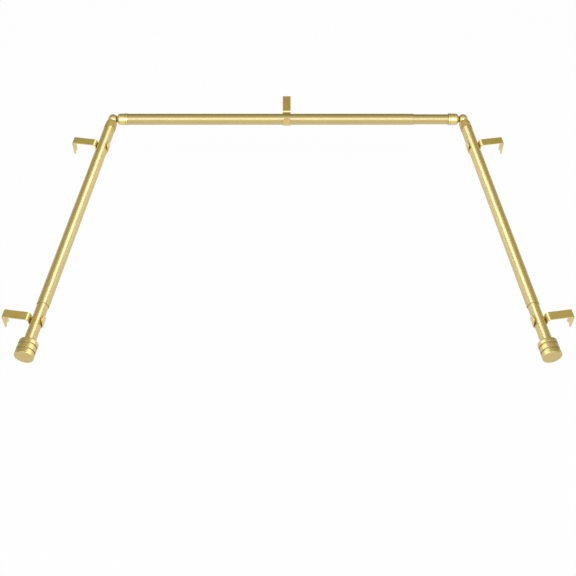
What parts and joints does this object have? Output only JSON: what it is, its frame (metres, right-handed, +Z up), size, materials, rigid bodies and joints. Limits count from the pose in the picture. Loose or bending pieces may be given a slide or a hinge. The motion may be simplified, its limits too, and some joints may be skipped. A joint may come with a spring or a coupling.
{
  "type": "bay window curtain rod",
  "caption": "Three-sided curtain rod for a bay window: telescoping tubes, slotted ball corners, bent strip wall brackets and grooved end finials in satin gold.",
  "frame": {"origin": "the centre bracket's screw hole, on the face that meets the wall", "axes": "+X along the centre rod to the right as seen from the room, +Y into the wall behind the centre rod, +Z up"},
  "size_m": [1.112, 0.7262, 0.0435],
  "materials": {
    "gold_tube": "satin gold plating on steel tube",
    "gold_connector": "satin gold plating on turned brass",
    "gold_finial": "satin gold plating on a turned knob",
    "gold_bracket": "satin gold plating on bent steel strip",
    "plain_steel": "bright zinc",
    "plug_plastic": "white moulded"
  },
  "bodies": {
    "centre": {"centre_outer_tube": "gold_tube", "centre_bracket": "gold_bracket", "left_fixed_cup": "gold_connector", "left_ball": "gold_connector", "left_nipple": "plain_steel"},
    "centre_extension": {"centre_inner_tube": "gold_tube", "centre_guide_plug": "plug_plastic", "right_fixed_cup": "gold_connector", "right_ball": "gold_connector", "right_nipple": "plain_steel"},
    "left_side": {"left_swing_cup": "gold_connector", "left_swivel_screw": "plain_steel", "left_outer_tube": "gold_tube", "left_corner_bracket": "gold_bracket"},
    "left_extension": {"left_inner_tube": "gold_tube", "left_guide_plug": "plug_plastic", "left_finial": "gold_finial", "left_end_bracket": "gold_bracket"},
    "right_side": {"right_swing_cup": "gold_connector", "right_swivel_screw": "plain_steel", "right_outer_tube": "gold_tube", "right_corner_bracket": "gold_bracket"},
    "right_extension": {"right_inner_tube": "gold_tube", "right_guide_plug": "plug_plastic", "right_finial": "gold_finial", "right_end_bracket": "gold_bracket"}
  },
  "joints": [
    {"name": "centre_slide", "type": "slide", "parent": "centre", "child": "centre_extension", "axis": [1, 0, 0], "range_m": [-0.075, 0.42]},
    {"name": "left_corner", "type": "hinge", "parent": "centre", "child": "left_side", "pos_m": [-0.399, -0.067, 0.006], "axis": [0, 0, 1], "range_deg": [-81.4, 8.6]},
    {"name": "left_slide", "type": "slide", "parent": "left_side", "child": "left_extension", "axis": [-0.1495, -0.9888, 0], "range_m": [-0.025, 0.335]},
    {"name": "right_corner", "type": "hinge", "parent": "centre_extension", "child": "right_side", "pos_m": [0.405, -0.067, 0.006], "axis": [0, 0, -1], "range_deg": [-81.4, 8.6]},
    {"name": "right_slide", "type": "slide", "parent": "right_side", "child": "right_extension", "axis": [0.1495, -0.9888, 0], "range_m": [-0.025, 0.335]}
  ]
}
